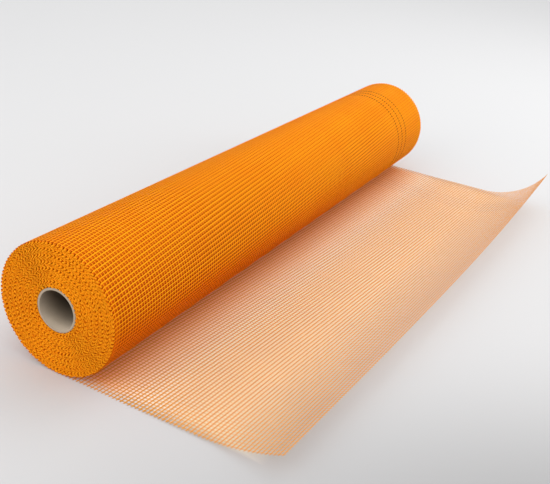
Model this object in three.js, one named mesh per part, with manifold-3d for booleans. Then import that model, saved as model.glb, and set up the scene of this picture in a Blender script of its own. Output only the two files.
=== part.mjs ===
// A roll of orange glass-fibre laid scrim on a paperboard core, lying on its side with
// a short length unrolled over the floor. The cut edge of that loose end curls upwards.
//
// Millimetres, +Z up. The roll's axis runs along X, and the loose end runs out towards -Y.
// The origin is on the floor, straight below the middle of the roll's axis.

import * as THREE from 'three';
import { mergeVertices } from 'three/addons/utils/BufferGeometryUtils.js';
import Module from 'manifold-3d';

// The fabric and the roll
const SCRIM_WIDTH = 1000; // along the roll's axis, edge to edge
const ROLL_DIAMETER = 169; // over the outermost turn
const SCRIM_THICKNESS = 1; // of the loose end, over two crossing yarns

// The paperboard tube that the scrim is wound on, cut flush with the scrim's edges
const CORE_BORE = 50;
const CORE_WALL = 3;
const CORE_CLEARANCE = 0.3; // between the tube and the innermost turn

// The turns that show on the roll's ends, as ridges
const TURN_RIDGE_PITCH = 5;
const TURN_RIDGE_DEPTH = 1.2;

// The loose end, at its near edge (-X) and its far edge (+X). The scrim is skewed, so the
// cut, which follows a weft yarn, leaves more at the far edge than at the near one.
const LOOSE_LENGTH = { near: 309, far: 381 };
const FLAT_LENGTH = { near: 195, far: 238 }; // what lies on the floor before the curl
const CURL_RADIUS = { near: 247, far: 134 };

// The loose end is open mesh throughout. A coarse grid of openings stands for it, with bars of
// scrim between them that leave the open share of the real mesh.
const OPENINGS_ACROSS = 12;
const OPENINGS_ALONG = 4;
const BAR_WIDTH = 20;
const FOOT_LENGTH = 40; // left whole where the scrim leaves the roll

// How finely the round forms are faceted
const ROUND_FACETS = 60;
const CURL_STEP = 13; // the longest step along the curl

const rollRadius = ROLL_DIAMETER / 2;
const coreRadius = CORE_BORE / 2 + CORE_WALL;
const woundBoreRadius = coreRadius + CORE_CLEARANCE;

// Corner radius of a polygon whose flats lie at the given radius.
const cornerRadius = (flatRadius) => flatRadius / Math.cos(Math.PI / ROUND_FACETS);

// A ring turned round the roll's axis from a closed outline of [radius, x] points,
// with one of its flats straight down.
function turned(outline) {
  const points = outline.map(([radius, x]) => new THREE.Vector2(cornerRadius(radius), x));
  const halfFacet = Math.PI / ROUND_FACETS;
  return new THREE.LatheGeometry(points, ROUND_FACETS, halfFacet)
    .rotateZ(-Math.PI / 2)
    .translate(0, 0, rollRadius);
}

function coreTubeGeometry() {
  const end = SCRIM_WIDTH / 2;
  return turned([
    [CORE_BORE / 2, -end],
    [coreRadius, -end],
    [coreRadius, end],
    [CORE_BORE / 2, end],
    [CORE_BORE / 2, -end],
  ]);
}

// The wound body. Each end carries concentric ridges, where the edges of the turns show.
function woundTurnsGeometry() {
  const end = SCRIM_WIDTH / 2;
  const wall = rollRadius - woundBoreRadius;
  const ridges = Math.max(1, Math.round(wall / TURN_RIDGE_PITCH));
  const steps = 2 * ridges;
  const ridgeLine = Array.from({ length: steps + 1 }, (_, i) => [
    woundBoreRadius + (wall * i) / steps,
    i % 2 ? end : end - TURN_RIDGE_DEPTH,
  ]);
  const nearEnd = ridgeLine.map(([radius, x]) => [radius, -x]);
  const farEnd = ridgeLine.slice().reverse();
  return turned([...nearEnd, ...farEnd, nearEnd[0]]);
}

// Where a point of the loose end lies: `across` runs from 0 at the near edge to 1 at the
// far edge, `along` is the length of scrim from the roll's foot, `up` is above its underside.
function onLooseEnd(across, along, up) {
  const flat = THREE.MathUtils.lerp(FLAT_LENGTH.near, FLAT_LENGTH.far, across);
  const radius = THREE.MathUtils.lerp(CURL_RADIUS.near, CURL_RADIUS.far, across);
  const angle = Math.max(along - flat, 0) / radius;
  const y = -(Math.min(along, flat) + (radius - up) * Math.sin(angle));
  const z = radius - (radius - up) * Math.cos(angle);
  return new THREE.Vector3((across - 0.5) * SCRIM_WIDTH, y, z);
}

// The lines that bound the openings over a length: a whole band first, and then openings of
// one size, each with a bar after it. Every second space between the lines is an opening.
function openingLines(firstBand, length, count) {
  const opening = (length - firstBand) / count - BAR_WIDTH;
  const lines = [0, firstBand];
  for (let i = 0; i < count; i++) {
    lines.push(lines.at(-1) + opening);
    lines.push(lines.at(-1) + BAR_WIDTH);
  }
  return lines;
}

// The rows of the loose end from the roll's foot to the cut edge: where each one ends at the
// near and the far edge, and whether it has openings. Rows on the curl are short ones.
function looseEndRows() {
  const near = openingLines(FOOT_LENGTH, LOOSE_LENGTH.near, OPENINGS_ALONG);
  const far = openingLines(FOOT_LENGTH, LOOSE_LENGTH.far, OPENINGS_ALONG);
  const rows = [];
  for (let i = 1; i < near.length; i++) {
    const isFlat = near[i] <= FLAT_LENGTH.near && far[i] <= FLAT_LENGTH.far;
    const longest = Math.max(near[i] - near[i - 1], far[i] - far[i - 1]);
    const steps = isFlat ? 1 : Math.ceil(longest / CURL_STEP);
    for (let step = 1; step <= steps; step++) {
      rows.push({
        near: THREE.MathUtils.lerp(near[i - 1], near[i], step / steps),
        far: THREE.MathUtils.lerp(far[i - 1], far[i], step / steps),
        hasOpenings: i % 2 === 0,
      });
    }
  }
  return rows;
}

// The loose end, a bent sheet of cells between the row lines and the column lines. A cell that
// isn't an opening gets an upper and a lower face, and a wall where it borders on an opening or
// on nothing.
function looseEndGeometry() {
  const rows = looseEndRows();
  const columnLines = openingLines(BAR_WIDTH, SCRIM_WIDTH, OPENINGS_ACROSS);
  const rowLines = [{ near: 0, far: 0 }, ...rows];
  const points = [];
  for (const line of rowLines) {
    for (const x of columnLines) {
      const across = x / SCRIM_WIDTH;
      const along = THREE.MathUtils.lerp(line.near, line.far, across);
      points.push(onLooseEnd(across, along, 0), onLooseEnd(across, along, SCRIM_THICKNESS));
    }
  }
  const lower = (row, column) => (row * columnLines.length + column) * 2;
  const upper = (row, column) => lower(row, column) + 1;
  const isWhole = (row, column) => {
    const isInside = row in rows && column >= 0 && column < columnLines.length - 1;
    return isInside && !(rows[row].hasOpenings && column % 2 === 1);
  };

  const triangles = [];
  const quad = (a, b, c, d) => triangles.push(a, b, c, a, c, d);
  const wall = (from, to) => quad(lower(...from), lower(...to), upper(...to), upper(...from));
  for (let r = 0; r < rows.length; r++) {
    for (let c = 0; c < columnLines.length - 1; c++) {
      if (!isWhole(r, c)) continue;
      quad(upper(r, c), upper(r + 1, c), upper(r + 1, c + 1), upper(r, c + 1));
      quad(lower(r, c), lower(r, c + 1), lower(r + 1, c + 1), lower(r + 1, c));
      if (!isWhole(r - 1, c)) wall([r, c + 1], [r, c]);
      if (!isWhole(r + 1, c)) wall([r + 1, c], [r + 1, c + 1]);
      if (!isWhole(r, c - 1)) wall([r, c], [r + 1, c]);
      if (!isWhole(r, c + 1)) wall([r + 1, c + 1], [r, c + 1]);
    }
  }
  return new THREE.BufferGeometry().setFromPoints(points).setIndex(triangles);
}

const wasm = await Module();
wasm.setup();

// A closed geometry as a solid that can be joined to another.
function solidOf(geometry) {
  const bare = geometry.clone().deleteAttribute('normal').deleteAttribute('uv');
  const merged = mergeVertices(bare, 1e-3);
  return new wasm.Manifold(new wasm.Mesh({
    numProp: 3,
    vertProperties: merged.getAttribute('position').array,
    triVerts: new Uint32Array(merged.getIndex().array),
  }));
}

function geometryOf(solid) {
  const mesh = solid.getMesh();
  return new THREE.BufferGeometry()
    .setAttribute('position', new THREE.BufferAttribute(mesh.vertProperties, 3))
    .setIndex(new THREE.BufferAttribute(mesh.triVerts, 1));
}

// The wound turns and the loose end are one length of scrim, so they are one piece.
function scrimGeometry() {
  return geometryOf(solidOf(woundTurnsGeometry()).add(solidOf(looseEndGeometry())));
}

const orangeScrim = new THREE.MeshStandardMaterial({
  color: 0xf5890f,
  roughness: 0.55,
  metalness: 0,
});
const paperboard = new THREE.MeshStandardMaterial({
  color: 0xa8988a,
  roughness: 0.85,
  metalness: 0,
});

function piece(name, geometry, material) {
  const mesh = new THREE.Mesh(geometry, material);
  mesh.name = name;
  return mesh;
}

const scrimRoll = new THREE.Group();
scrimRoll.add(
  piece('core_tube', coreTubeGeometry(), paperboard),
  piece('scrim', scrimGeometry(), orangeScrim),
);

export default scrimRoll;
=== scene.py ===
"""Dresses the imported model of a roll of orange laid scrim, which lies on its side on a pale floor
with its loose end unrolled.

The scrim is made flat first, as it comes off the loom, and is then laid: a point of the flat scrim
has its place across the width (x), its length from the roll's foot (y, towards the cut edge when
positive and into the roll when negative) and its height over the underside (z). One node group,
"Lay scrim", bends that flat space along the floor, up the curl and round and round the core, so
every yarn of the loose end, of the outer turns and of the roll's ends lies on one fabric.
"""

import math

import bpy
import numpy as np
from bpy.props import FloatProperty, FloatVectorProperty, IntProperty, PointerProperty
from mathutils import Matrix, Vector


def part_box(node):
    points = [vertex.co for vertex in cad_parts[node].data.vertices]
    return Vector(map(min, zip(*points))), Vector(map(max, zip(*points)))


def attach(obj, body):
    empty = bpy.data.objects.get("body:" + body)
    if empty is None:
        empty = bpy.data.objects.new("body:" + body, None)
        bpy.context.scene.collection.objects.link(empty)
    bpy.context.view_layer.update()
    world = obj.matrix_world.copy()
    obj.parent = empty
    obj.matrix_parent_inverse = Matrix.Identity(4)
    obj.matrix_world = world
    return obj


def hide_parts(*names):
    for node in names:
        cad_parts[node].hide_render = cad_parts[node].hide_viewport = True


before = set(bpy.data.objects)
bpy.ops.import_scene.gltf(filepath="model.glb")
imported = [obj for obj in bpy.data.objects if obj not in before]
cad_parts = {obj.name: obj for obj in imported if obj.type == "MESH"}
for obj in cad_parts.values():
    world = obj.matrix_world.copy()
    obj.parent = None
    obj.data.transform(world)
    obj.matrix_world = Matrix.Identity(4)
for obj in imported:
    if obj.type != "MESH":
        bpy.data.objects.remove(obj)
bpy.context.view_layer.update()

bl_info = {
    "name": "Roll of laid scrim",
    "version": (1, 0, 0),
    "blender": (4, 5, 0),
    "location": "3D View > Sidebar > Scrim",
    "description": "A roll of laid glass-fibre scrim on a paperboard core, with a loose end",
    "category": "Object",
}

SCRIM_LOW, SCRIM_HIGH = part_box("scrim")
TUBE_LOW, TUBE_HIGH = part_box("core_tube")
MM = 0.001

# How the scrim strays as it lies. Waves are counted in a metre across it and a metre along it
STRAY_WAVES = (3.0, 5.0)
SWAY_WAVES = (2.0, 9.0)
RIPPLE_WAVES = (2.5, 7.0)
SWAY = 0.5  # how far the warps stray, as a share of how far the wefts do
RIPPLE = 0.3  # share of the lift that comes and goes
SKEW_BOW = 0.12  # how much steeper the skew is at the near edge
LIFT_RUN = 0.13  # metres before the curl over which the scrim leaves the floor

# How the yarns are made
WARP_REST = 0.2  # height of a warp between two wefts, in its own thicknesses
WARP_RISE = 0.55  # how far a warp rises over a weft, in the weft's thicknesses
MARKERS = (73, 77, 81)  # the dark warps, counted from the middle one
TIP_SUNK, ROOT_SUNK = -0.5, 1.0  # how sunk a weft end is at its cut tip and at its root, where it gets painted shade
SECOND_TURN_SUNK = 0.3  # how sunk the second turn is, under the outermost one, which gives it painted shade
YARN_SEED = 3  # for the number that each yarn gets
STUB_LENGTH = 5.0 * MM  # length of a cut weft end
RAGGEDNESS = 0.8 * MM  # how far the cut ends stand in and out
RAGGED_ALONG = 0.4  # how far they stray along the scrim, as a share of that

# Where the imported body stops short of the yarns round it
END_RECESS = 3.2 * MM
OUTER_RECESS = 1.0 * MM
CORE_CLEARANCE = 0.3 * MM
GROOVE = 0.5 * MM  # depth of the grooves in its ends
GROOVES = 20
PACKED_FACETS = 160
TUBE_FACETS = 128

# The dim spot of the floor, which is painted shade: the way to it from the roll, and its place
# and size in metres along that way and across it
DIM_WAY = (-0.817, -0.576)
DIM_PLACE = (0.7, 0.3)
DIM_SIZE = (0.24, 0.6)
DIM_LIGHT = 0.56  # how light the floor is there under the painted shade, as a share


# Settings that a user would change


def size(name, description, default, **more):
    return FloatProperty(
        name=name, description=description, default=default, unit="LENGTH", precision=5, **more
    )


def colour(name, description, default):
    return FloatVectorProperty(
        name=name, description=description, default=default, subtype="COLOR", min=0, max=1
    )


class RollSizes(bpy.types.PropertyGroup):
    width: size("Width", "Scrim width, along the roll's axis", SCRIM_HIGH.x - SCRIM_LOW.x)
    radius: size("Roll radius", "Radius over the outermost turn", SCRIM_HIGH.z / 2)
    turn: size("Turn", "What one turn adds to the radius", 0.4 * MM)
    core_radius: size("Core radius", "Outer radius of the tube", (TUBE_HIGH.z - TUBE_LOW.z) / 2)
    core_wall: size("Core wall", "Wall thickness of the core tube", 3 * MM)


class MeshSizes(bpy.types.PropertyGroup):
    weft_pitch: size("Weft pitch", "Between one weft yarn and the next", 5.3 * MM)
    warp_pitch: size("Warp pitch", "Between one warp yarn and the next", 5.07 * MM)
    weft_width: size("Weft width", "Width of a flattened weft yarn", 1.6 * MM)
    weft_height: size("Weft thickness", "Thickness of a weft yarn", 0.28 * MM)
    warp_width: size("Warp width", "Width of a warp yarn", 1.05 * MM)
    warp_height: size("Warp thickness", "Thickness of a warp yarn", 0.28 * MM)
    end_width: size("Cut width", "Width of a weft yarn at its cut end", 2.1 * MM)
    end_height: size("Cut thickness", "Thickness of a weft yarn at its cut end", 0.4 * MM)
    skew: size("Skew", "How much further a weft runs out at the far edge", 72 * MM)
    wander: size("Wander", "How far yarns stray from their straight line", 1.3 * MM)


class LooseEndSizes(bpy.types.PropertyGroup):
    wefts: IntProperty(name="Wefts", description="Weft yarns in the loose end", default=65, min=2)
    flat_near: size("Flat, near", "Length on the floor at the near edge", 195 * MM)
    flat_far: size("Flat, far", "Length on the floor at the far edge", 238 * MM)
    curl_near: size("Curl, near", "Radius of the curl at the near edge", 247 * MM)
    curl_far: size("Curl, far", "Radius of the curl at the far edge", 134 * MM)
    lift: size("Lift", "How far the scrim stands off the floor where the curl starts", 3 * MM)


class FinishColours(bpy.types.PropertyGroup):
    yarn: colour("Yarn", "Coated yarn", (1.0, 0.4, 0.005))
    # Also the colour of the painted shade low on the roll, most of all towards its near end
    yarn_thick_and_shade: colour("Yarn, deep", "Coated yarn where the coating is thick", (0.88, 0.19, 0.002))
    yarn_tip: colour("Yarn, tip", "Cut end of a yarn, where its glass shows", (1.0, 0.4, 0.01))
    # Painted shade where a yarn lies deep: a cut end's root and the second turn
    yarn_root_shade: colour("Yarn, root", "Yarn deep between its neighbours", (0.62, 0.09, 0.001))
    # The loose end's yarn colours are a darker copy of the yarn's: painted shade
    single: colour("Single layer", "Coated yarn of the loose end", (0.81, 0.35, 0.03))
    single_deep: colour("Single layer, deep", "The same, thickly coated", (0.55, 0.19, 0.01))
    marker: colour("Marker", "Marker warps near the far edge", (0.3, 0.025, 0.001))
    # Painted light and shade of the packed turns: the first colour where lit, the deep one in the
    # gaps
    packed: colour("Packed turns", "What shows between the outer yarns", (0.8, 0.17, 0.001))
    packed_gap_shade: colour("Packed turns, deep", "The deepest gaps", (0.3, 0.025, 0.001))
    board: colour("Paperboard", "Core tube", (0.5, 0.41, 0.31))
    # Painted shade deep in the tube's bore; a little of this colour also darkens its end faces
    board_deep: colour("Paperboard, deep", "Deep in the tube's bore", (0.06, 0.038, 0.02))
    floor: colour("Floor", "Plain pale floor", (0.67, 0.67, 0.676))
    # Painted warm shade and painted light on the floor under the loose end
    floor_warm_shade: colour("Floor, warm", "Floor in the roll's warm shade", (0.95, 0.52, 0.3))
    floor_lit: colour("Floor, lit", "Floor with light from the loose end", (1.0, 0.96, 0.84))


class StageSizes(bpy.types.PropertyGroup):
    camera_place: FloatVectorProperty(
        name="Camera place",
        description="Where the camera stands",
        default=(-1.13011, -0.563966, 0.587891),
        subtype="XYZ",
        unit="LENGTH",
    )
    camera_turn: FloatVectorProperty(
        name="Camera turn",
        description="Heading, tilt and roll of the camera",
        default=(0.4460996, -0.4414401, 0.124451),
        subtype="EULER",
    )
    lens: FloatProperty(name="Lens", description="Focal length in mm", default=54.73)
    key_power: FloatProperty(name="Key light", description="Softbox power in watts", default=15.0)
    side_power: FloatProperty(name="Side light", description="Softbox power in watts", default=15.5)
    far_power: FloatProperty(name="Far light", description="Softbox power in watts", default=11.0)
    fill: FloatProperty(name="Fill", description="Light from all round", default=1.0)


# Node trees in a maker's terms


class Flow:
    """A value that flows through a node tree, so that formulas can be written plainly."""

    def __init__(self, tree, socket):
        self.tree, self.socket = tree, socket

    def __add__(self, other):
        return self.tree.maths("ADD", self, other)

    def __sub__(self, other):
        return self.tree.maths("SUBTRACT", self, other)

    def __rsub__(self, other):
        return self.tree.maths("SUBTRACT", other, self)

    def __mul__(self, other):
        return self.tree.maths("MULTIPLY", self, other)

    def __truediv__(self, other):
        return self.tree.maths("DIVIDE", self, other)

    __radd__ = __add__
    __rmul__ = __mul__


class Tree:
    """A node tree being built. Sockets take a Flow, which is linked, or a plain value."""

    def __init__(self, tree):
        self.tree, self.nodes, self.links = tree, tree.nodes, tree.links

    def feed(self, socket, value):
        if isinstance(value, Flow):
            self.links.new(value.socket, socket)
        else:
            socket.default_value = value

    def add(self, kind, inputs=None, **settings):
        node = self.nodes.new(kind)
        for name, value in settings.items():
            setattr(node, name, value)
        for name, value in (inputs or {}).items():
            self.feed(node.inputs[name], value)
        return node

    def flow(self, kind, inputs=None, output=0, **settings):
        return Flow(self, self.add(kind, inputs, **settings).outputs[output])

    def maths(self, operation, *values):
        return self.flow("ShaderNodeMath", dict(enumerate(values)), operation=operation)

    def sin(self, angle):
        return self.maths("SINE", angle)

    def cos(self, angle):
        return self.maths("COSINE", angle)

    def at_least_0(self, value):
        return self.maths("MAXIMUM", value, 0.0)

    def from_0_to_1(self, value):
        return self.maths("MINIMUM", self.at_least_0(value), 1.0)

    def mix(self, share, low, high):
        return low + (high - low) * share

    def vector(self, x=0.0, y=0.0, z=0.0):
        return self.flow("ShaderNodeCombineXYZ", {0: x, 1: y, 2: z})

    def split(self, vector):
        node = self.add("ShaderNodeSeparateXYZ", {0: vector})
        return [Flow(self, node.outputs[i]) for i in range(3)]

    def grain(self, vector, scale, detail=2.0, roughness=0.5):
        """Smooth noise from 0 to 1."""
        inputs = {"Vector": vector, "Scale": scale, "Detail": detail, "Roughness": roughness}
        return self.flow("ShaderNodeTexNoise", inputs)

    def noise(self, vector, scale, detail=2.0):
        """Smooth noise from -1 to 1."""
        return (self.grain(vector, scale, detail) - 0.5) * 2.0

    def attribute(self, name):
        return self.flow("ShaderNodeAttribute", output="Fac", attribute_name=name)


KINDS = {
    "float": "NodeSocketFloat",
    "int": "NodeSocketInt",
    "vector": "NodeSocketVector",
    "mesh": "NodeSocketGeometry",
    "material": "NodeSocketMaterial",
}


def node_group(name, inputs, outputs):
    """An empty geometry tree with named sockets: (Tree, {input name: Flow}, output node)."""
    group = bpy.data.node_groups.new(name, "GeometryNodeTree")
    for way, sockets in (("INPUT", inputs), ("OUTPUT", outputs)):
        for socket_name, kind in sockets.items():
            group.interface.new_socket(socket_name, in_out=way, socket_type=KINDS[kind])
    tree = Tree(group)
    entry, leave = tree.add("NodeGroupInput"), tree.add("NodeGroupOutput")
    return tree, {n: Flow(tree, entry.outputs[n]) for n in inputs}, leave


LAY_SIZES = [
    "Width", "Roll radius", "Turn", "Flat near", "Flat far",
    "Curl near", "Curl far", "Lift", "Skew", "Wander",
]


def waves(tree, x, along, per_metre, layer=0.0, detail=1.0):
    """Smooth noise from -1 to 1 on the flat scrim. Each layer is a noise of its own."""
    place = tree.vector(x * per_metre[0], along * per_metre[1], layer)
    return tree.noise(place, 1.0, detail)


def lay_scrim_group():
    """Bends flat scrim along the floor, up the curl, and round the roll."""
    sockets = {"Flat": "vector", **{n: "float" for n in LAY_SIZES}}
    tree, given, leave = node_group("Lay scrim", sockets, {"Laid": "vector"})
    x, along, up = tree.split(given["Flat"])
    width, radius, turn = given["Width"], given["Roll radius"], given["Turn"]

    # Yarns stray, and the wefts run askew, a little more so near the near edge
    stray = waves(tree, x, along, STRAY_WAVES, detail=2.0)
    sway = waves(tree, x, along, SWAY_WAVES, layer=7.0)
    share = x / width
    askew = given["Skew"] * (share - (share * share - 0.25) * SKEW_BOW)
    along = along + askew + given["Wander"] * stray
    x = x + given["Wander"] * SWAY * sway

    # Along the floor, which it touches only here and there, and up the curl
    across = tree.from_0_to_1(share + 0.5)
    flat = tree.mix(across, given["Flat near"], given["Flat far"])
    curl = tree.mix(across, given["Curl near"], given["Curl far"])
    angle = tree.at_least_0(along - flat) / curl
    ripple = waves(tree, x, along, RIPPLE_WAVES, layer=3.0) * RIPPLE + (1.0 - RIPPLE)
    clear = tree.from_0_to_1((along - flat) / LIFT_RUN + 1.0)
    inner = curl - up - given["Lift"] * ripple * clear * clear * (3.0 - clear * 2.0)
    loose_y = 0.0 - tree.maths("MINIMUM", along, flat) - inner * tree.sin(angle)
    loose_z = curl - inner * tree.cos(angle)

    # Round the roll, each turn closer to the core than the one over it
    inward = tree.at_least_0(0.0 - along)
    wound = tree.maths("SQRT", radius * radius - inward * turn / math.pi)
    angle = (radius - wound) * (2 * math.pi) / turn
    inner = wound - up
    wound_y = inner * tree.sin(angle)
    wound_z = radius - inner * tree.cos(angle)

    is_loose = tree.maths("GREATER_THAN", along, 0.0)
    y = tree.mix(is_loose, wound_y, loose_y)
    z = tree.mix(is_loose, wound_z, loose_z)
    tree.feed(leave.inputs["Laid"], tree.vector(x, y, z))
    return tree.tree


def moved(tree, mesh, place):
    return tree.flow("GeometryNodeSetPosition", {"Geometry": mesh, "Position": place})


def marked(tree, geometry, name, value, domain="POINT"):
    """Stores a number under a name that the finishes read."""
    inputs = {"Geometry": geometry, "Name": name, "Value": value}
    return tree.flow("GeometryNodeStoreNamedAttribute", inputs, domain=domain)


def lay(tree, mesh, group, given, material):
    """Sets a flat mesh onto its laid place and gives it its material. Laying mirrors the mesh, so
    its faces are turned over."""
    flat = tree.flow("GeometryNodeInputPosition")
    laid = tree.add("GeometryNodeGroup", node_tree=group)
    tree.feed(laid.inputs["Flat"], flat)
    for name in LAY_SIZES:
        tree.feed(laid.inputs[name], given[name])
    mesh = moved(tree, mesh, Flow(tree, laid.outputs[0]))
    mesh = tree.flow("GeometryNodeFlipFaces", {"Mesh": mesh})
    return tree.flow("GeometryNodeSetMaterial", {"Geometry": mesh, "Material": material})


def yarn_prism(tree, sides, steps):
    """A closed prism of unit length: its axis is z, from -0.5 to 0.5, and its corners lie on a
    circle of radius 1 in x and y."""
    return tree.flow(
        "GeometryNodeMeshCylinder",
        {"Vertices": sides, "Side Segments": steps, "Radius": 1.0, "Depth": 1.0},
        fill_type="NGON",
    )


def repeated(tree, mesh, places):
    """Copies of a mesh at the points of places, made one real mesh, each with its own number."""
    copies = tree.flow("GeometryNodeInstanceOnPoints", {"Points": places, "Instance": mesh})
    number = tree.flow("FunctionNodeRandomValue", {"Seed": YARN_SEED}, 1)
    copies = marked(tree, copies, "yarn", number, domain="INSTANCE")
    return tree.flow("GeometryNodeRealizeInstances", {"Geometry": copies})


def line_of_points(tree, count, start, step):
    inputs = {"Count": count, "Start Location": start, "Offset": step}
    return tree.flow("GeometryNodeMeshLine", inputs)


NET_SIZES = ["Weft pitch", "Warp pitch", "Weft width", "Weft height", "Warp width", "Warp height"]


def scrim_net_tree(lay_group):
    """A length of open scrim, from one weft to another, laid."""
    sockets = {
        "First weft": "float",
        "Wefts": "int",
        "Weft steps": "int",
        "Warp steps": "int",
        "Sunk": "float",
        "Material": "material",
        **{n: "float" for n in NET_SIZES + LAY_SIZES},
    }
    tree, given, leave = node_group("Scrim net", sockets, {"Mesh": "mesh"})
    wefts, pitch = given["Wefts"], given["Weft pitch"]
    start = given["First weft"] * pitch
    x, y, z = tree.split(tree.flow("GeometryNodeInputPosition"))

    # One weft, flattened, and its copies side by side
    height = given["Weft height"]
    place = tree.vector(z * given["Width"], x * given["Weft width"] / 2, (y + 1.0) * height / 2)
    weft = moved(tree, yarn_prism(tree, 4, given["Weft steps"]), place)
    rows = line_of_points(
        tree, wefts, tree.vector(0.0, start + pitch / 2, 0.0), tree.vector(0.0, pitch, 0.0)
    )
    wefts_mesh = repeated(tree, weft, rows)

    # One warp, which rises over each weft and dips between them, or runs straight under them
    # where it has only one step to a weft. Its prism has three sides, so x runs from -0.5 to 1
    # and y is the square root of 3 wide
    step = (z + 0.5) * wefts * 2.0
    rise = 0.5 - tree.cos(step * math.pi) * 0.5
    warp_height = given["Warp height"]
    base = warp_height * WARP_REST + rise * height * WARP_RISE
    place = tree.vector(
        y * given["Warp width"] / math.sqrt(3),
        start + (z + 0.5) * wefts * pitch,
        base + (x + 0.5) / 1.5 * warp_height,
    )
    warp = moved(tree, yarn_prism(tree, 3, wefts * given["Warp steps"]), place)
    reach = tree.maths("FLOOR", given["Width"] / 2 / given["Warp pitch"])
    columns = line_of_points(
        tree,
        reach * 2.0 + 1.0,
        tree.vector(0.0 - reach * given["Warp pitch"], 0.0, 0.0),
        tree.vector(given["Warp pitch"], 0.0, 0.0),
    )
    index = tree.flow("GeometryNodeInputIndex") - reach
    marker = 0.0
    for number in MARKERS:
        marker = tree.maths("COMPARE", index, float(number), 0.5) + marker
    warps_mesh = repeated(tree, warp, marked(tree, columns, "marker", marker))

    both = tree.add("GeometryNodeJoinGeometry")
    tree.feed(both.inputs[0], wefts_mesh)
    tree.feed(both.inputs[0], warps_mesh)
    mesh = marked(tree, Flow(tree, both.outputs[0]), "sunk", given["Sunk"])
    tree.feed(leave.inputs["Mesh"], lay(tree, mesh, lay_group, given, given["Material"]))
    return tree.tree


def weft_ends_tree(lay_group):
    """The cut ends of the wefts that stand out of one end of the roll, turn after turn."""
    sockets = {
        "First weft": "float",
        "Wefts": "int",
        "Side": "float",
        "Length": "float",
        "End width": "float",
        "End height": "float",
        "Raggedness": "float",
        "Seed": "int",
        "Material": "material",
        **{n: "float" for n in NET_SIZES + LAY_SIZES},
    }
    tree, given, leave = node_group("Weft ends", sockets, {"Mesh": "mesh"})
    x, y, z = tree.split(tree.flow("GeometryNodeInputPosition"))
    width, height = given["End width"], given["End height"]
    place = tree.vector(z * given["Length"], (x - y) * width / 2, (x + y + 1.0) * height / 2)
    stub = moved(tree, yarn_prism(tree, 4, 1), place)
    # The root of each cut end is sunk and gets painted shade, and its tip takes the tip's colour
    outward = x * given["Side"] / given["Length"]
    sunk = (TIP_SUNK + ROOT_SUNK) / 2 - outward * (ROOT_SUNK - TIP_SUNK)
    stub = marked(tree, stub, "sunk", sunk)
    pitch = given["Weft pitch"]
    middle = given["Side"] * (given["Width"] / 2 - given["Length"] / 2)
    rows = line_of_points(
        tree,
        given["Wefts"],
        tree.vector(middle, (given["First weft"] + 0.5) * pitch, 0.0),
        tree.vector(0.0, pitch, 0.0),
    )
    ragged = tree.flow(
        "FunctionNodeRandomValue",
        {0: (-1.0, -1.0, 0.0), 1: (1.0, 1.0, 0.0), "Seed": given["Seed"]},
        data_type="FLOAT_VECTOR",
    )
    out, along, _ = tree.split(ragged)
    reach = given["Raggedness"]
    offset = tree.vector(out * reach, along * reach * RAGGED_ALONG, 0.0)
    rows = tree.flow("GeometryNodeSetPosition", {"Geometry": rows, "Offset": offset})
    mesh = repeated(tree, stub, rows)
    tree.feed(leave.inputs["Mesh"], lay(tree, mesh, lay_group, given, given["Material"]))
    return tree.tree


# Turning the recipes into pieces


def made_by_nodes(name, group, values):
    """A plain mesh object from a geometry tree with these inputs."""
    holder = bpy.data.objects.new(name + "_making", bpy.data.meshes.new(name + "_making"))
    bpy.context.scene.collection.objects.link(holder)
    modifier = holder.modifiers.new("Making", "NODES")
    modifier.node_group = group
    for item in group.interface.items_tree:
        if item.in_out == "INPUT" and item.name in values:
            modifier[item.identifier] = values[item.name]
    graph = bpy.context.evaluated_depsgraph_get()
    mesh = bpy.data.meshes.new_from_object(holder.evaluated_get(graph), depsgraph=graph)
    mesh.name = name
    spare = holder.data
    bpy.data.objects.remove(holder)
    bpy.data.meshes.remove(spare)
    return linked(name, mesh)


def linked(name, mesh, smooth=False):
    """An object in the scene with this mesh."""
    mesh.polygons.foreach_set("use_smooth", [smooth] * len(mesh.polygons))
    piece = bpy.data.objects.new(name, mesh)
    bpy.context.scene.collection.objects.link(piece)
    return piece


def set_on_roll(piece, slot, *replaced):
    """Rides the piece on the roll's one body and hides the imported parts that it replaces."""
    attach(piece, "root")
    if replaced:
        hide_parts(*replaced)


def turned(name, outline, centre_z, facets, material):
    """A closed ring turned round the roll's axis from [x, radius] points in order, going
    round so that the faces point out. Its UV map is the length round the roll and along the
    outline, in metres."""
    outline = np.array(outline, float)
    steps = np.linalg.norm(np.roll(outline, -1, 0) - outline, axis=1)
    run = np.concatenate([[0.0], np.cumsum(steps)])
    angles = np.arange(facets) * 2 * math.pi / facets
    verts = [
        (x, r * math.sin(a), centre_z - r * math.cos(a)) for a in angles for x, r in outline
    ]
    count = len(outline)
    faces, uvs = [], []
    for i in range(facets):
        j = (i + 1) % facets
        a0, a1 = 2 * math.pi * i / facets, 2 * math.pi * (i + 1) / facets
        for k in range(count):
            m = (k + 1) % count
            faces.append((i * count + k, i * count + m, j * count + m, j * count + k))
            r0, r1 = outline[k][1], outline[m][1]
            s0, s1 = run[k], run[k + 1]
            uvs += [(r0 * a0, s0), (r1 * a0, s1), (r1 * a1, s1), (r0 * a1, s0)]
    mesh = bpy.data.meshes.new(name)
    mesh.from_pydata(verts, [], faces)
    layer = mesh.uv_layers.new(name="Unrolled")
    layer.data.foreach_set("uv", np.array(uvs, np.float32).ravel())
    mesh.materials.append(material)
    return linked(name, mesh, smooth=True)


# Finishes


def finish(name):
    """A new material: (material, its Tree, its Principled shader)."""
    material = bpy.data.materials.new(name)
    material.use_nodes = True
    tree = Tree(material.node_tree)
    return material, tree, tree.nodes["Principled BSDF"]


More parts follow.
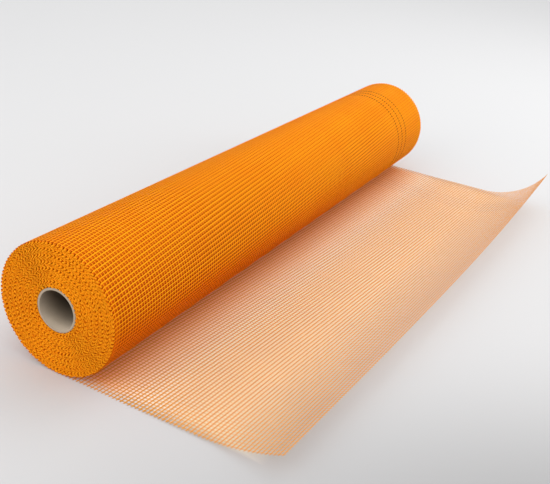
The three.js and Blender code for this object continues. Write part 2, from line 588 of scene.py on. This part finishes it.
def mixed(tree, share, low, high):
    node = tree.add("ShaderNodeMix", data_type="RGBA")
    tree.feed(node.inputs[0], share)
    tree.feed(node.inputs[6], low)
    tree.feed(node.inputs[7], high)
    return Flow(tree, node.outputs[2])


def bumped(tree, shader, height, distance, strength=1.0):
    normal = tree.flow(
        "ShaderNodeBump", {"Height": height, "Distance": distance, "Strength": strength}
    )
    tree.feed(shader.inputs["Normal"], normal)


def rgba(value, gain=1.0):
    return (value[0] * gain, value[1] * gain, value[2] * gain, 1.0)


def coated_yarn(name, colours, coating, thick_coating_and_shade, marker_coating, shade):
    """Glass yarn under an orange coating, which lies thicker in places. Painted shade makes it
    darker and deeper in colour low on the roll, most of all near its near end. The attribute sunk
    is below 0 towards a cut tip and above 0 where a yarn lies deep and gets painted shade."""
    material, tree, shader = finish(name)
    place = tree.flow("ShaderNodeTexCoord", output="Object")
    x, _, height = tree.split(place)
    patches = tree.grain(place, 14.0, 3.0)
    beads = tree.grain(place, 420.0, 2.0)
    patchy, beaded = 0.35, 0.35
    own_share = tree.mix(tree.attribute("yarn"), 0.7, 1.3)
    thick = (patches * patchy + beads * beaded) * own_share
    # Painted shade below this height, strongest towards the near end; it adds to the thick share
    shaded_height = 0.1
    nearness = 0.7 - x * 1.8
    thick = thick + tree.at_least_0(shaded_height - height) * nearness * shade
    base = mixed(tree, thick, rgba(coating), rgba(thick_coating_and_shade))
    base = mixed(tree, tree.attribute("marker"), base, rgba(marker_coating))

    # Towards a cut tip it takes the tip's colour, and deep down the root's, which is painted shade
    # and shows most low on the roll and near its near end
    sunk = tree.attribute("sunk")
    base = mixed(tree, sunk / TIP_SUNK, base, rgba(colours.yarn_tip))
    root = sunk * (3.4 - height * 16.0 - x * 4.0)
    base = mixed(tree, root, base, rgba(colours.yarn_root_shade))
    tree.feed(shader.inputs["Base Color"], base)
    tree.feed(shader.inputs["Roughness"], beads * 0.2 + 0.5)
    shader.inputs["Specular IOR Level"].default_value = 0.03
    bumped(tree, shader, beads, 0.12 * MM, 0.6)
    return material


def packed_scrim(colours, roll, sizes):
    """The wound turns under the outer ones: rows of wefts and, between them, deep gaps in painted
    shade, which is darker low down and near the near end."""
    material, tree, shader = finish("packed_scrim")
    girth, _, _ = tree.split(tree.flow("ShaderNodeUVMap", uv_map="Unrolled"))
    place = tree.flow("ShaderNodeTexCoord", output="Object")
    x, _, z = tree.split(place)
    drift = tree.noise(place, 5.0, 2.0) * (1.6 * MM)
    row_pitch = sizes.weft_pitch / 2
    row = tree.cos((girth + x * sizes.skew + drift) * (2 * math.pi / row_pitch)) * 0.5 + 0.5
    rib = tree.cos(x * (2 * math.pi / sizes.warp_pitch)) * 0.5 + 0.5
    row_light, rib_light = 0.55, 0.5
    from_above = (z / roll.radius - 1.3) * 0.8
    from_far_end = x * 0.65
    light = tree.maths("MAXIMUM", row * row_light, rib * rib_light) + from_above + from_far_end

    # Close to the ends the gaps get more painted light
    to_end = roll.width / 2 - tree.maths("ABSOLUTE", x)
    lit_length = 8 * MM
    light = tree.maths("MAXIMUM", light, 1.5 - to_end / lit_length)
    base = mixed(tree, light, rgba(colours.packed_gap_shade), rgba(colours.packed))

    # The marker warps show through as dark rings with soft edges
    for number in MARKERS:
        off = tree.maths("ABSOLUTE", x - number * sizes.warp_pitch)
        base = mixed(tree, 1.5 - off / MM, base, rgba(colours.marker))
    tree.feed(shader.inputs["Base Color"], base)
    shader.inputs["Roughness"].default_value = 0.8
    shader.inputs["Specular IOR Level"].default_value = 0.03
    bumped(tree, shader, light, 0.5 * MM)
    return material


def paperboard(colours, roll):
    """Grey-brown board with loose fibres, with painted shade deep in the bore and along the top of
    it.
    """
    material, tree, shader = finish("paperboard")
    girth, along, _ = tree.split(tree.flow("ShaderNodeUVMap", uv_map="Unrolled"))
    place = tree.flow("ShaderNodeTexCoord", output="Object")
    blotch = tree.grain(place, 45.0, 4.0)
    fibre = tree.grain(tree.vector(girth * 260.0, along * 1900.0), 1.0, 4.0, 0.65)
    dark, light = rgba(colours.board, 0.8), rgba(colours.board, 1.3)
    base = mixed(tree, blotch * 0.6 + fibre * 0.4, dark, light)

    # Painted shade darkens the bore over the first 50 mm, and sooner at the top than at the bottom
    x, _, z = tree.split(place)
    depth = roll.width / 2 - tree.maths("ABSOLUTE", x)
    height = (z - roll.radius) / roll.core_radius
    inside = tree.maths("GREATER_THAN", depth, 0.6 * MM)
    end_face, deepest, darkening_length = 0.28, 0.88, 0.05
    deep = tree.maths("MINIMUM", depth / darkening_length + height * 0.6 + 0.35, deepest)
    base = mixed(tree, tree.mix(inside, end_face, deep), base, rgba(colours.board_deep))
    tree.feed(shader.inputs["Base Color"], base)
    shader.inputs["Roughness"].default_value = 0.82
    shader.inputs["Specular IOR Level"].default_value = 0.25
    bumped(tree, shader, fibre * 0.6 + blotch * 0.4, 0.15 * MM, 0.8)
    return material


def pale_floor(colours, roll, loose):
    """A plain pale floor, with a dim spot of painted shade in front of the roll, and painted warm
    shade and painted light under the loose end, where light comes through it."""
    material, tree, shader = finish("pale_floor")
    place = tree.flow("ShaderNodeTexCoord", output="Object")
    x, y, _ = tree.split(place)
    # Painted shade: a dim spot on the floor in front of the roll
    along_way = (x * DIM_WAY[0] + y * DIM_WAY[1] - DIM_PLACE[0]) / DIM_SIZE[0]
    across_way = (y * DIM_WAY[0] - x * DIM_WAY[1] - DIM_PLACE[1]) / DIM_SIZE[1]
    dim = tree.maths("EXPONENT", 0.0 - along_way * along_way - across_way * across_way)
    uneven = tree.noise(place, 0.8, 2.0) * 0.02
    base = mixed(tree, dim + uneven, rgba(colours.floor), rgba(colours.floor, DIM_LIGHT))

    # The painted shade and light below the loose end fade in from the roll's foot and its edges,
    # and out below the curl. The warm painted shade reaches 50 mm from the foot, then paler painted
    # light
    along = 0.0 - y
    share = x / roll.width + 0.5
    flat = tree.mix(share, loose.flat_near, loose.flat_far)
    warm_reach, curl_reach = 0.05, 0.085
    slow_fade, foot_fade, edge_fade = 14.0, 25.0, 60.0
    from_edge = tree.maths("MINIMUM", share, 1.0 - share) * edge_fade - 0.2
    from_cut = (flat + curl_reach - along) * slow_fade
    from_foot = along * foot_fade
    within = tree.maths("MINIMUM", tree.maths("MINIMUM", from_edge, from_cut), from_foot)
    paler = (along - warm_reach) * slow_fade
    under = mixed(tree, paler, rgba(colours.floor_warm_shade), rgba(colours.floor_lit))
    base = mixed(tree, within, base, under)
    tree.feed(shader.inputs["Base Color"], base)
    shader.inputs["Roughness"].default_value = 0.9
    shader.inputs["Specular IOR Level"].default_value = 0.1
    return material


def shared(name, make, *inputs):
    """The named material, made the first time it is asked for."""
    return bpy.data.materials.get(name) or make(*inputs)


# Operators, one for each piece or group of like pieces


def settings():
    """The settings of the roll, its mesh, its loose end and its finishes."""
    scene = bpy.context.scene
    return scene.roll_sizes, scene.mesh_sizes, scene.loose_sizes, scene.finish_colours


def size_values():
    """The sizes that the node trees take."""
    roll, mesh, loose, _ = settings()
    return {
        "Width": roll.width,
        "Roll radius": roll.radius,
        "Turn": roll.turn,
        "Flat near": loose.flat_near,
        "Flat far": loose.flat_far,
        "Curl near": loose.curl_near,
        "Curl far": loose.curl_far,
        "Lift": loose.lift,
        "Skew": mesh.skew,
        "Wander": mesh.wander,
        "Weft pitch": mesh.weft_pitch,
        "Warp pitch": mesh.warp_pitch,
        "Weft width": mesh.weft_width,
        "Weft height": mesh.weft_height,
        "Warp width": mesh.warp_width,
        "Warp height": mesh.warp_height,
    }


def tree_called(name, make):
    """The named node tree, made the first time it is asked for."""
    return bpy.data.node_groups.get(name) or make()


def roll_yarn():
    """The finish of the yarns on the roll, with painted shade low down."""
    colours = settings()[3]
    name, shade = "coated_glass_yarn", 14.0
    thin, thick = colours.yarn, colours.yarn_thick_and_shade
    return shared(name, coated_yarn, name, colours, thin, thick, colours.marker, shade)


def single_yarn():
    """The finish of the loose end, on which the marker warps don't stand out. Its colours are a
    darker copy of the yarn's, which is painted shade.
    """
    colours = settings()[3]
    name, shade = "coated_glass_yarn_single_layer", 0.0
    thin, thick = colours.single, colours.single_deep
    return shared(name, coated_yarn, name, colours, thin, thick, thick, shade)


def net(name, material, first, count, weft_steps=60, warp_steps=2, sunk=0.0):
    """A piece of open scrim with this many wefts from the first one, counted from the foot."""
    lay_group = tree_called("Lay scrim", lay_scrim_group)
    group = tree_called("Scrim net", lambda: scrim_net_tree(lay_group))
    values = {
        **size_values(),
        "First weft": float(first),
        "Wefts": count,
        "Weft steps": weft_steps,
        "Warp steps": warp_steps,
        "Sunk": sunk,
        "Material": material,
    }
    return made_by_nodes(name, group, values)


def wefts_in_turns(turns):
    """How many wefts the outermost turns hold."""
    roll, mesh, _, _ = settings()
    angle = turns * 2 * math.pi
    return round((roll.radius * angle - roll.turn * angle**2 / (4 * math.pi)) / mesh.weft_pitch)


class SCRIM_OT_loose_end(bpy.types.Operator):
    """Lays the loose end on the floor, with its cut edge curling up"""

    bl_idname = "scrim.loose_end"
    bl_label = "Loose end"

    def execute(self, context):
        roll, mesh, loose, _ = settings()
        piece = net("loose_end", single_yarn(), 0, loose.wefts)
        set_on_roll(piece, "scrim", "scrim")
        return {"FINISHED"}


class SCRIM_OT_outer_turns(bpy.types.Operator):
    """Winds the two outermost turns of open mesh"""

    bl_idname = "scrim.outer_turns"
    bl_label = "Outer turns"

    def execute(self, context):
        half, one, two = (wefts_in_turns(n) for n in (0.5, 1, 2))
        yarn = roll_yarn()
        set_on_roll(net("outer_turn_back", yarn, -half, half), "scrim")
        set_on_roll(net("outer_turn_front", yarn, -one, one - half), "scrim")
        # The second turn lies under the outermost one and gets painted shade
        hidden = {"weft_steps": 36, "warp_steps": 1, "sunk": SECOND_TURN_SUNK}
        set_on_roll(net("second_turn", yarn, -two, two - one, **hidden), "scrim")
        return {"FINISHED"}


class SCRIM_OT_packed_turns(bpy.types.Operator):
    """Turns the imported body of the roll, under its outer turns"""

    bl_idname = "scrim.packed_turns"
    bl_label = "Packed turns"

    def execute(self, context):
        roll, mesh, _, colours = settings()
        end = roll.width / 2 - END_RECESS
        outer = roll.radius - OUTER_RECESS
        bore = roll.core_radius + CORE_CLEARANCE
        radii = np.linspace(bore, outer, 2 * GROOVES + 1)
        face = [(end - (0.0 if i % 2 else GROOVE), r) for i, r in enumerate(radii)]
        outline = [(-x, r) for x, r in face]
        outline += [(x, outer) for x in np.linspace(-end, end, 41)[1:-1]]
        outline += face[::-1]
        material = shared("packed_scrim", packed_scrim, colours, roll, mesh)
        piece = turned("packed_turns", outline, roll.radius, PACKED_FACETS, material)
        set_on_roll(piece, "scrim", "scrim")
        return {"FINISHED"}


class SCRIM_OT_weft_ends(bpy.types.Operator):
    """Sets the cut ends of the wefts in both ends of the roll"""

    bl_idname = "scrim.weft_ends"
    bl_label = "Weft ends"

    def execute(self, context):
        roll, mesh, _, _ = settings()
        lay_group = tree_called("Lay scrim", lay_scrim_group)
        group = tree_called("Weft ends", lambda: weft_ends_tree(lay_group))
        turns = (roll.radius - roll.core_radius - 2 * CORE_CLEARANCE) / roll.turn
        skipped, held = wefts_in_turns(2), wefts_in_turns(turns)
        for name, side, seed in (("weft_ends_near", -1.0, 11), ("weft_ends_far", 1.0, 12)):
            values = {
                **size_values(),
                "First weft": float(-held),
                "Wefts": held - skipped,
                "Side": side,
                "End width": mesh.end_width,
                "End height": mesh.end_height,
                "Length": STUB_LENGTH,
                "Raggedness": RAGGEDNESS,
                "Seed": seed,
                "Material": roll_yarn(),
            }
            set_on_roll(made_by_nodes(name, group, values), "scrim")
        return {"FINISHED"}


class SCRIM_OT_core(bpy.types.Operator):
    """Turns the paperboard core tube"""

    bl_idname = "scrim.core"
    bl_label = "Core tube"

    def execute(self, context):
        roll, _, _, colours = settings()
        end, outer = roll.width / 2, roll.core_radius
        bore = outer - roll.core_wall
        soft = 0.4 * MM
        outline = [(-end, bore + soft), (-end, outer - soft), (-end + soft, outer)]
        outline += [(end - soft, outer), (end, outer - soft), (end, bore + soft)]
        outline += [(end - soft, bore)]
        outline += [(x, bore) for x in np.linspace(end - soft, -end + soft, 40)[1:]]
        material = shared("paperboard", paperboard, colours, roll)
        piece = turned("paperboard_core", outline, roll.radius, TUBE_FACETS, material)
        set_on_roll(piece, "core_tube", "core_tube")
        return {"FINISHED"}


class SCRIM_OT_stage(bpy.types.Operator):
    """Sets the pale floor, the soft studio light and the camera"""

    bl_idname = "scrim.stage"
    bl_label = "Stage"

    def execute(self, context):
        scene = context.scene
        stage = scene.stage_sizes
        mesh = bpy.data.meshes.new("floor")
        reach = 30.0
        corners = [(-reach, -reach, 0), (reach, -reach, 0), (reach, reach, 0), (-reach, reach, 0)]
        mesh.from_pydata(corners, [], [(0, 1, 2, 3)])
        roll, _, loose, colours = settings()
        mesh.materials.append(shared("pale_floor", pale_floor, colours, roll, loose))
        floor = linked("floor", mesh)

        def softbox(name, place, aim, power, side):
            lamp = bpy.data.lights.new(name, "AREA")
            lamp.shape, lamp.size, lamp.energy = "SQUARE", side, power
            lamp_object = bpy.data.objects.new(name, lamp)
            place, aim = Vector(place), Vector(aim)
            lamp_object.location = place
            lamp_object.rotation_euler = (aim - place).to_track_quat("-Z", "Y").to_euler()
            scene.collection.objects.link(lamp_object)

        softbox("key_softbox", (1.7, -0.5, 2.3), (0.3, 0.0, 0.0), stage.key_power, 1.8)
        softbox("side_softbox", (-2.2, 0.6, 1.3), (-0.5, 0.0, 0.1), stage.side_power, 1.6)
        softbox("far_softbox", (1.7, -1.8, 0.8), (0.5, 0.0, 0.08), stage.far_power, 1.2)

        world = bpy.data.worlds.new("studio")
        world.use_nodes = True
        background = world.node_tree.nodes["Background"]
        background.inputs["Color"].default_value = (1.0, 1.0, 1.0, 1.0)
        background.inputs["Strength"].default_value = stage.fill
        scene.world = world
        scene.view_settings.view_transform = "Standard"

        heading, tilt, tip = stage.camera_turn
        forward = Vector(
            (math.cos(tilt) * math.cos(heading), math.cos(tilt) * math.sin(heading), math.sin(tilt))
        )
        right = forward.cross(Vector((0, 0, 1))).normalized()
        up = right.cross(forward)
        tilted_right = right * math.cos(tip) + up * math.sin(tip)
        tilted_up = up * math.cos(tip) - right * math.sin(tip)
        camera = bpy.data.objects.new("camera", bpy.data.cameras.new("camera"))
        camera.data.sensor_fit = "HORIZONTAL"
        camera.data.sensor_width = 36.0
        camera.data.lens = stage.lens
        turn = Matrix((tilted_right, tilted_up, -forward)).transposed()
        camera.matrix_world = Matrix.Translation(stage.camera_place) @ turn.to_4x4()
        scene.collection.objects.link(camera)
        scene.camera = camera
        return {"FINISHED"}


OPERATORS = [
    SCRIM_OT_stage,
    SCRIM_OT_core,
    SCRIM_OT_packed_turns,
    SCRIM_OT_outer_turns,
    SCRIM_OT_weft_ends,
    SCRIM_OT_loose_end,
]
GROUPS = {
    "roll_sizes": RollSizes,
    "mesh_sizes": MeshSizes,
    "loose_sizes": LooseEndSizes,
    "finish_colours": FinishColours,
    "stage_sizes": StageSizes,
}


class SCRIM_PT_panel(bpy.types.Panel):
    """Lists the roll's settings and its pieces"""

    bl_label = "Roll of laid scrim"
    bl_idname = "SCRIM_PT_panel"
    bl_space_type = "VIEW_3D"
    bl_region_type = "UI"
    bl_category = "Scrim"

    def draw(self, context):
        for group in GROUPS:
            box = self.layout.box()
            values = getattr(context.scene, group)
            for name in values.__annotations__:
                box.prop(values, name)
        for operator in OPERATORS:
            self.layout.operator(operator.bl_idname)


def register():
    for cls in [*GROUPS.values(), *OPERATORS, SCRIM_PT_panel]:
        bpy.utils.register_class(cls)
    for name, cls in GROUPS.items():
        setattr(bpy.types.Scene, name, PointerProperty(type=cls))


def unregister():
    for name in GROUPS:
        delattr(bpy.types.Scene, name)
    for cls in reversed([*GROUPS.values(), *OPERATORS, SCRIM_PT_panel]):
        bpy.utils.unregister_class(cls)


def main():
    register()
    for operator in OPERATORS:
        family, name = operator.bl_idname.split(".")
        getattr(getattr(bpy.ops, family), name)()


if __name__ == "__main__":
    main()
